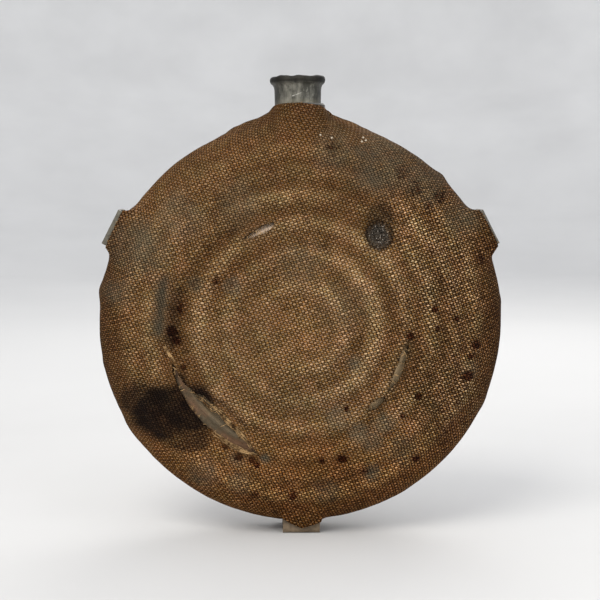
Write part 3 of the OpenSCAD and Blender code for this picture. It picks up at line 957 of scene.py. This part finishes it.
def pewter_material():
    """Dull cast metal with painted shade on the rolled lip and down its sides, pale and crusted where it
    meets the cloth.
    """
    n = Nodes("pewter_patina")
    place = n.place()
    split = n.tree.nodes.new("ShaderNodeSeparateXYZ")
    n.plug(split.inputs[0], place)
    x, z = split.outputs[0], split.outputs[2]
    broad = n.noise(place, 110, 4.0, 0.6)
    small = n.noise(n.stretch(place, 1.0, 1.0, 0.55), 620, 4.0, 0.65)
    streaks = n.noise(n.stretch(place, 1.0, 1.0, 0.3), 330, 4.0, 0.6)
    pale_share = n.remap(n.add(broad, streaks), 0.84, 1.16)
    colour = n.mix(pale_share, (0.050, 0.048, 0.037), (0.225, 0.215, 0.178))
    colour = n.mix(n.remap(small, 0.54, 0.72, 0.0, 0.55), colour, (0.36, 0.345, 0.29))
    colour = n.mix(n.remap(small, 0.44, 0.32, 0.0, 0.7), colour, (0.034, 0.031, 0.024))
    across, up = n.math("SUBTRACT", x, SCRATCH_X), n.math("SUBTRACT", z, SCRATCH_Z)
    line = n.add(n.off(up, n.times(across, 0.35)), n.remap(small, 0.3, 0.7, -0.0002, 0.0003))
    length = n.remap(n.math("ABSOLUTE", across), 0.0028, 0.0018)
    colour = n.mix(n.times(n.remap(line, 0.0003, 0.0), length), colour, (0.50, 0.48, 0.43))
    crust = n.remap(n.add(z, n.times(broad, 0.004)), 0.2149, 0.2119, 0.0, 0.5)
    colour = n.mix(crust, colour, (0.30, 0.27, 0.185))
    # Painted shade: the rolled lip goes near black from here up.
    lip = n.remap(n.add(z, n.times(small, 0.0012)), LIP_LOW, LIP_HIGH)
    colour = n.mix(n.times(lip, 0.9), colour, (0.009, 0.008, 0.006))
    # Painted shade: darker down the spout's left and right sides.
    side_shade = n.add(n.off(x, SPOUT_LEAN), n.times(broad, 0.002))
    colour = n.shade(colour, n.remap(side_shade, 0.0070, 0.0122, 0.93, 0.34))
    n.set(Base_Color=colour, Metallic=n.remap(lip, 0, 1, 0.5, 0.1))
    n.set(Roughness=n.remap(small, 0.3, 0.7, 0.36, 0.64), Specular_IOR_Level=n.remap(lip, 0, 1, 0.5, 0.12))
    n.bump(n.add(broad, n.times(small, 0.5)), 0.0004, 0.7)
    return n.material


def shell_material():
    """Tin that shows through the tears: pale on the rings, and dark brown between them, from grime and
    painted shade.
    """
    n = Nodes("shell_tin")
    place = n.place()
    out = n.stretch(n.vector("SUBTRACT", place, (0.0, 0.0, CENTRE_Z * MM)), 1.0, 0.0, 1.0)
    r = n.add(n.vector("LENGTH", out), n.remap(n.noise(place, 160, 3.0), 0, 1, -0.0019, 0.0019))
    crest = 0.0
    for ring in RING_RADII:
        crest = n.math("MAXIMUM", crest, n.remap(n.off(r, ring * MM), 0.0062, 0.0050))
    rubbed = n.remap(n.off(r, 0.0504), 0.0045, 0.0035)
    crest = n.math("MAXIMUM", crest, rubbed)
    broad = n.noise(place, 90, 4.0, 0.6)
    small = n.noise(place, 520, 4.0, 0.65)
    pale = n.mix(n.remap(r, 0.0608, 0.0634), (0.158, 0.112, 0.062), (0.222, 0.124, 0.070))
    pale = n.mix(n.remap(broad, 0.42, 0.62), pale, (0.122, 0.094, 0.058))
    pale = n.mix(n.remap(small, 0.5, 0.75, 0.0, 0.6), pale, (0.085, 0.06, 0.036))
    z = n.vector("DOT_PRODUCT", place, (0.0, 0.0, 1.0))
    upper = n.remap(z, CENTRE_Z * MM, (CENTRE_Z + 20) * MM)
    pale = n.mix(rubbed, pale, n.mix(upper, (0.33, 0.235, 0.130), (0.50, 0.38, 0.28)))
    # Between the rings: dark from grime and painted shade.
    dirt_and_shade = n.mix(broad, (0.022, 0.012, 0.005), (0.045, 0.028, 0.014))
    n.set(Base_Color=n.mix(crest, dirt_and_shade, pale), Metallic=0.05, Roughness=n.remap(small, 0.3, 0.7, 0.6, 0.85))
    n.set(Specular_IOR_Level=0.2)
    n.bump(n.add(small, broad), 0.00025, 0.6)
    return n.material


CLOTH_FRONT = cloth_material("cover_weave_front", flecks=WHITE_FLECKS)
CLOTH_BACK = cloth_material("cover_weave_back", 0.93)
FRAY = thread_material("frayed_yarn", (0.47, 0.30, 0.14), (0.055, 0.025, 0.008))
LINEN = thread_material("waxed_linen_thread", (0.25, 0.17, 0.085), (0.09, 0.058, 0.03))
TIN = metal_material("worn_tin", (0.06, 0.05, 0.036), (0.035, 0.028, 0.02), (0.035, 0.024, 0.014), 0.3)
FOOT_TIN = metal_material(
    "foot_loop_tin", (0.25, 0.18, 0.11), (0.12, 0.085, 0.05), (0.03, 0.02, 0.012), 0.1, 0.5)
LOOP_TIN = metal_material(
    "loop_tin", (0.130, 0.118, 0.088), (0.062, 0.054, 0.038), (0.028, 0.02, 0.012), 0.2, 0.6)
SOLDER = metal_material(
    "dull_solder", (0.13, 0.125, 0.11), (0.075, 0.07, 0.06), (0.035, 0.03, 0.022), 0.4)
SHELL_TIN = shell_material()
PEWTER = pewter_material()


# ---- the cover's two panels ----


def make_cover(side, tears, seed, name, material):
    cover = Cover(side, tears, seed)
    cover.build()
    obj = mesh_object(name, cover.points, cover.faces(), material)
    paint_cover(cover, obj)
    thick = obj.modifiers.new("thickness", "SOLIDIFY")
    thick.thickness = CLOTH * MM
    thick.offset = -1
    thick.use_even_offset = False
    return cover, obj


front, front_obj = make_cover(FRONT, TEARS, 11, "front_cover_cloth", CLOTH_FRONT)
back, back_obj = make_cover(BACK, BACK_TEARS, 57, "back_cover_cloth", CLOTH_BACK)


# ---- loose yarns along the torn edges ----

YARN_SIDES = 5


class Yarns:
    """The loose yarns of one panel, all in one mesh."""

    def __init__(self, cover, seed):
        self.cover, self.cloth = cover, cover.points
        self.rng = np.random.default_rng(seed)
        self.points, self.faces = [], []

    def tube(self, path, radius, taper=1.0):
        tube(path, radius, YARN_SIDES, self.points, self.faces, taper)

    def strand(self, start, direction, normal, length, radius):
        """A short yarn end that leaves the cloth in a direction, bends, and rises a little off it."""
        path, p, d = [], np.array(start, float), np.array(direction, float)
        bend = self.rng.normal(0, 0.45, 3)
        for k in range(7):
            path.append(p.copy())
            d = d + 0.22 * bend + self.rng.normal(0, 0.16, 3) + normal * (0.12 if k < 2 else -0.05)
            d /= np.linalg.norm(d)
            p = p + d * length / 6
        self.tube(path, radius, 0.55)

    def lying_yarn(self, angles, radii, ups, radius, wobble=0.07):
        """A yarn that lies on the metal, through (angle, radius on the bare face, height above it)."""
        f = np.linspace(0, 1, 11)
        knots = np.linspace(0, 1, len(angles))
        angle, r, up = (np.interp(f, knots, v) for v in (angles, radii, ups))
        at = np.array([s_at_radius(v) for v in r])
        a, out = np.radians(angle), along(at, "r") + along(at, "nr") * up
        depth = along(at, "t") + along(at, "nt") * up
        path = np.stack([out * np.sin(a), -depth, out * np.cos(a) + CENTRE_Z], -1)
        self.tube(path + self.rng.normal(0, wobble, path.shape), radius)

    def outwards(self, index):
        a = math.radians(self.cover.angle[index])
        return np.array([math.sin(a), 0.0, math.cos(a)])

    def normal_at(self, index):
        s = self.cover.s0[index]
        off_face = np.array([0.0, -self.cover.side * along(s, "nt"), 0.0])
        return along(s, "nr") * self.outwards(index) + off_face

    def fray(self, cut):
        """Yarn ends along the lips of a tear or a loop's slit, and yarns that still cross a long tear."""
        first = cut["row"] * COLUMNS
        lips = [(first + c, cut["first"] + q) for q, c in enumerate(cut["columns"])]
        torn = cut["tear"] is not None
        chance = cut["tear"]["fray"] if torn else 0.55
        for q, (inner, outer) in enumerate(lips):
            across = unit(self.cloth[outer] - self.cloth[inner])
            after, before = lips[min(q + 1, len(lips) - 1)][0], lips[max(q - 1, 0)][0]
            beside = unit(self.cloth[after] - self.cloth[before])
            self.yarn_ends(inner, across, beside, chance, torn)
            if torn:
                self.yarn_ends(outer, -across, beside, chance, torn)
        if torn and cut["span"] > 15:
            self.crossing_yarns(lips, int(cut["span"] / 9))

    def yarn_ends(self, start, across, beside, chance, torn):
        rng = self.rng
        for _ in range(2):
            if rng.random() > chance:
                continue
            normal = self.normal_at(start)
            lean = rng.normal(0, 0.7) * beside
            direction = across + lean + 0.25 * normal if torn else 0.8 * self.outwards(start) + lean
            origin = self.cloth[start] - normal * CLOTH * rng.uniform(0.1, 0.8)
            length = rng.uniform(0.9, 2.8) if torn else rng.uniform(0.6, 1.5)
            self.strand(origin, unit(direction), normal, length, rng.uniform(0.15, 0.27))

    def crossing_yarns(self, lips, count):
        rng = self.rng
        for _ in range(count):
            q = int(rng.integers(0, len(lips)))
            other = min(len(lips) - 1, q + int(rng.integers(1, 5)))
            a, b = self.cloth[lips[q][0]], self.cloth[lips[other][1]]
            if np.linalg.norm(b - a) > 5:
                b = a + (b - a) * rng.uniform(0.3, 0.6)
            middle = (a + b) / 2 + self.normal_at(lips[q][0]) * rng.uniform(0.4, 1.3)
            path = curve(np.linspace(0, 1, 8)[:, None], a, middle, b)
            self.tube(path + rng.normal(0, 0.06, path.shape), rng.uniform(0.15, 0.24))

    def fill_long_tear(self):
        """Yarns across the upper end of the longest tear, and a fringe along its lips."""
        rng = self.rng
        for _ in range(8):
            turn, out = rng.normal(0, 0.5), rng.normal(0, 0.42)
            angles = np.array([-98.6, -103.5, -110.5]) + turn
            radii = np.array([64.7, 62.4, 59.8]) + out
            self.lying_yarn(angles, radii, (2.9, 3.7, 2.9), rng.uniform(0.16, 0.24))
        at, inner_lip, outer_lip = zip(*TEARS[0]["edges"])
        for _ in range(70):
            on_inner = rng.random() < 0.7
            start = rng.uniform(-158, -130) if on_inner else rng.uniform(-160, -150)
            angles = np.linspace(start, start + rng.uniform(4, 13), 4)
            inner = np.interp(angles, at, inner_lip) + rng.uniform(-0.4, 2.6)
            outer = np.interp(angles, at, outer_lip) + rng.uniform(-1.2, 0.6)
            radii = (inner if on_inner else outer) + rng.normal(0, 0.35, 4)
            ups = rng.uniform(1.6, 2.9) + rng.normal(0, 0.2, 4)
            self.lying_yarn(angles, radii, ups, rng.uniform(0.15, 0.24), 0.11)

    def fray_sleeve(self):
        """Short yarn ends that stand up along the sleeve's edge."""
        rng = self.rng
        last_row = (ROWS - 1) * COLUMNS
        normal = np.array([0, -self.cover.side * 0.3, 0])
        for column in np.flatnonzero(np.abs(self.cover.angles) < 11):
            for _ in range(2):
                if rng.random() < 0.55:
                    lean = rng.normal(0, 0.5)
                    start = self.cloth[last_row + column] - np.array([0, 0, 0.4])
                    direction = np.array([lean, rng.normal(0, 0.1), 0.9])
                    self.strand(start, direction, normal, rng.uniform(0.5, 1.4), rng.uniform(0.13, 0.2))


def frays(cover, name, seed):
    yarns = Yarns(cover, seed)
    for cut in cover.cuts:
        yarns.fray(cut)
    if cover.side == FRONT:
        yarns.fill_long_tear()
    yarns.fray_sleeve()
    return mesh_object(name, yarns.points, yarns.faces, FRAY)


front_frays = frays(front, "front_cover_frays", 4)
back_frays = frays(back, "back_cover_frays", 9)


# ---- stitches along the seam round the rim, and beside the spout ----

STITCH_R = 0.33
STITCH_COUNT = 120  # places for a stitch round the rim
SPOUT_CLEAR, LOOP_CLEAR = 16, 9.2  # degrees without a stitch on each side of the spout and of a loop


def edge_line(points, angle):
    """The last rows of a panel's points, at an angle between two columns."""
    column = (angle + 180) / 360 * COLUMNS
    low = int(math.floor(column))
    part = column - low
    rows = np.arange(ROWS - 8, ROWS) * COLUMNS
    return (1 - part) * points[rows + low % COLUMNS] + part * points[rows + (low + 1) % COLUMNS]


def rim_path(angle, slant, reach):
    """A thread over the seam from one panel to the other, just outside the cloth."""
    path = []
    for f in np.linspace(-1, 1, 9):
        y = f * reach
        line = edge_line((front if y < 0 else back).points, angle + slant * f)
        line = line[np.argsort(np.abs(line[:, 1]))]
        x, z = (np.interp(abs(y), np.abs(line[:, 1]), line[:, axis]) for axis in (0, 2))
        out = 0.24 * (1 - 0.9 * abs(f) ** 4) - 0.18 * abs(f) ** 4
        r, a = math.hypot(x, z - CENTRE_Z) + out, math.atan2(x, z - CENTRE_Z)
        path.append([r * math.sin(a), y, r * math.cos(a) + CENTRE_Z])
    return path


def rim_stitches():
    rng = np.random.default_rng(21)
    points, faces = [], []
    for k in range(STITCH_COUNT):
        angle = 360 * (k + 0.5) / STITCH_COUNT - 180
        from_loop = min(abs(float(wrapped(angle - a))) for a in LOOP_ANGLES.values())
        if abs(angle) > SPOUT_CLEAR and from_loop > LOOP_CLEAR:
            place = angle + rng.normal(0, 0.12)
            tube(rim_path(place, 0.5, 2.3 + rng.normal(0, 0.15)), STITCH_R, 6, points, faces)
    return mesh_object("rim_seam_stitches", points, faces, LINEN)


def neck_stitches():
    points, faces = [], []
    for sign in (-1, 1):
        for angle in (8.8, 10.4, 12.2, 14.2):
            tube(rim_path(sign * angle, 0.15, 1.9), STITCH_R, 6, points, faces)
    return mesh_object("neck_seam_stitches", points, faces, LINEN)


rim_thread = rim_stitches()
neck_thread = neck_stitches()


# ---- the spout: a cast tube, knocked out of round, with a rolled and battered lip ----

BORE_R = 9.6
SPOUT_COLUMNS = 128


def spout_outline():
    """(radius, height above the body's centre): up the outside, round the lip and down the bore."""
    inner_end = [(BORE_R, 92.2), (10.4, 92.0), (11.2, 92.3)]
    neck = [(NECK_R, z) for z in (94.0, 98.0, 102.0, 104.0, 106.0)]
    flare = [(11.32, 108.0), (11.34, 110.0), (11.36, 112.0), (11.4, 113.4), (11.55, 114.6), (11.9, 115.6)]
    lip = [(12.5, 116.2), (13.0, 116.8), (13.3, 117.6), (13.32, 118.4), (13.1, 119.2), (12.7, 119.75),
           (12.1, 120.0), (11.4, 119.95), (10.6, 119.6), (10.0, 119.0), (9.7, 118.2)]
    bore = [(BORE_R, z) for z in (117.0, 112.0, 107.0, 102.0, 97.0)]
    return inner_end + neck + flare + lip + bore


def battered(r, z, a):
    """Where a point of the true tube, at an angle a round it, lies after all its knocks."""
    c, s = math.cos(a), math.sin(a)
    lip, free = float(smoothstep(z, 113.0, 119.0)), float(smoothstep(z, 104.0, 110.0))
    place = np.array([r * c, r * s, z])
    grow = 0.16 * free * noise(place, 7.0, 71) + 0.10 * free * noise(place, 3.2, 72)
    grow += lip * (0.25 * math.cos(2 * a + 0.6) + 0.22 * noise(place, 4.5, 73))
    if r < 10.2:
        grow = min(grow, 0.05)
    waves = 0.5 * noise([10 * c, 10 * s, 0], 6.5, 74) + 0.32 * noise([10 * c, 10 * s, 5], 2.6, 75)
    rise = lip * (waves + 0.38 * c - 0.15)
    lean = -1.4 * float(smoothstep(z, 99.0, 106.0)) - 0.012 * max(0.0, z - 106.0)
    left_flare = 0.10 * lip * max(0.0, -c) * max(0.0, 117.0 - z)
    radius = r + grow + left_flare
    return [radius * c + lean, radius * s, z + rise + CENTRE_Z]


def make_spout():
    outline = spout_outline()
    turns = [2 * math.pi * k / SPOUT_COLUMNS for k in range(SPOUT_COLUMNS)]
    points = [battered(r, z, a) for r, z in outline for a in turns]
    faces = []
    for j in range(len(outline)):
        low, high = j * SPOUT_COLUMNS, (j + 1) % len(outline) * SPOUT_COLUMNS
        for k in range(SPOUT_COLUMNS):
            n = (k + 1) % SPOUT_COLUMNS
            faces.append([low + k, low + n, high + n, high + k])
    return mesh_object("battered_spout", points, faces, PEWTER)


spout = make_spout()

# ---- which piece stands for which part of the design ----

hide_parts("front_cover")
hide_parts("back_cover")
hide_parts("rim_stitches")
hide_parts("neck_stitches")
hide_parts("spout")
for piece in (front_obj, back_obj, front_frays, back_frays, rim_thread, neck_thread, spout):
    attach(piece, "root")

CARRIED = {
    SHELL_TIN: ("front_shell", "back_shell"),
    TIN: ("spout_collar",),
    LOOP_TIN: ("left_loop", "right_loop"),
    FOOT_TIN: ("bottom_loop",),
    SOLDER: ("rim_solder", "spout_solder", "collar_solder",
             "left_loop_solder", "right_loop_solder", "bottom_loop_solder"),
}
for material, nodes in CARRIED.items():
    for node in nodes:
        for place in frame["nodes"][node].material_slots:
            place.material = material

# ---- floor, light and camera, in metres ----

FLOOR_OUTLINE = (
    (0.0, 0.0), (0.6, 0.0), (1.2, 0.0), (1.7, 0.03), (2.1, 0.14), (2.5, 0.4), (2.8, 0.85), (2.95, 1.5),
    (3.0, 2.4),
)
FLOOR_COLUMNS = 96


def stage_floor():
    """A pale floor that turns up into a plain surround far from the canteen."""
    count = FLOOR_COLUMNS
    points, faces = [(0.0, 0.0, 0.0)], []
    for r, z in FLOOR_OUTLINE[1:]:
        for k in range(count):
            a = 2 * math.pi * k / count
            points.append((r * math.cos(a) / MM, r * math.sin(a) / MM, z / MM))
    for k in range(count):
        faces.append([0, 1 + k, 1 + (k + 1) % count])
    for j in range(len(FLOOR_OUTLINE) - 2):
        for k in range(count):
            low, n = 1 + j * count, (k + 1) % count
            faces.append([low + k, low + count + k, low + count + n, low + n])
    n = Nodes("floor_paper")
    place = n.place()
    far = n.remap(n.vector("LENGTH", place), 0.35, 2.6)
    tone = n.mix(far, (0.56, 0.557, 0.55), (0.84, 0.837, 0.825))
    n.set(Base_Color=n.mix(n.noise(place, 5, 3.0), tone, (0.62, 0.617, 0.61)), Roughness=0.9)
    mesh_object("floor", points, faces, n.material)


def aimed(obj, place, aim):
    """Puts a lamp or camera in its place and turns it towards a point."""
    obj.location = place
    obj.rotation_mode = "QUATERNION"
    obj.rotation_quaternion = (Vector(place) - Vector(aim)).to_track_quat("Z", "Y")
    bpy.context.scene.collection.objects.link(obj)


def area_light(name, place, side, power, colour):
    data = bpy.data.lights.new(name, "AREA")
    data.shape = "RECTANGLE"
    data.size = data.size_y = side
    data.energy, data.color = power, colour
    aimed(bpy.data.objects.new(name, data), place, (0, 0, 0.1))


def world():
    w = bpy.data.worlds.new("studio")
    bpy.context.scene.world = w
    w.use_nodes = True
    shade = w.node_tree.nodes["Background"]
    shade.inputs[0].default_value = (0.93, 0.95, 1.0, 1.0)
    shade.inputs[1].default_value = 1.0


def photo_camera():
    """The photograph's viewpoint: a little above the middle and a little to the left."""
    distance, elevation, azimuth = 0.680, math.radians(5.5), math.radians(-1.4)
    middle = Vector((-0.00037, 0, CENTRE_Z * MM))
    level = math.cos(elevation)
    towards = Vector((math.sin(azimuth) * level, -math.cos(azimuth) * level, math.sin(elevation)))
    data = bpy.data.cameras.new("photo_camera")
    data.sensor_width = 36
    data.lens = 82.3
    camera = bpy.data.objects.new("photo_camera", data)
    aimed(camera, middle + towards * distance, middle + Vector((0, 0, 0.01046)))
    bpy.context.scene.camera = camera


stage_floor()
world()
area_light("key", (-0.55, -0.9, 1.15), 0.8, 16.0, (1.0, 0.97, 0.92))
area_light("fill", (0.9, -0.8, 0.6), 0.9, 4.5, (0.95, 0.97, 1.0))
area_light("back_light", (0.3, 0.9, 0.9), 0.8, 6.0, (1.0, 0.98, 0.95))
photo_camera()
bpy.context.scene.view_settings.view_transform = "Standard"
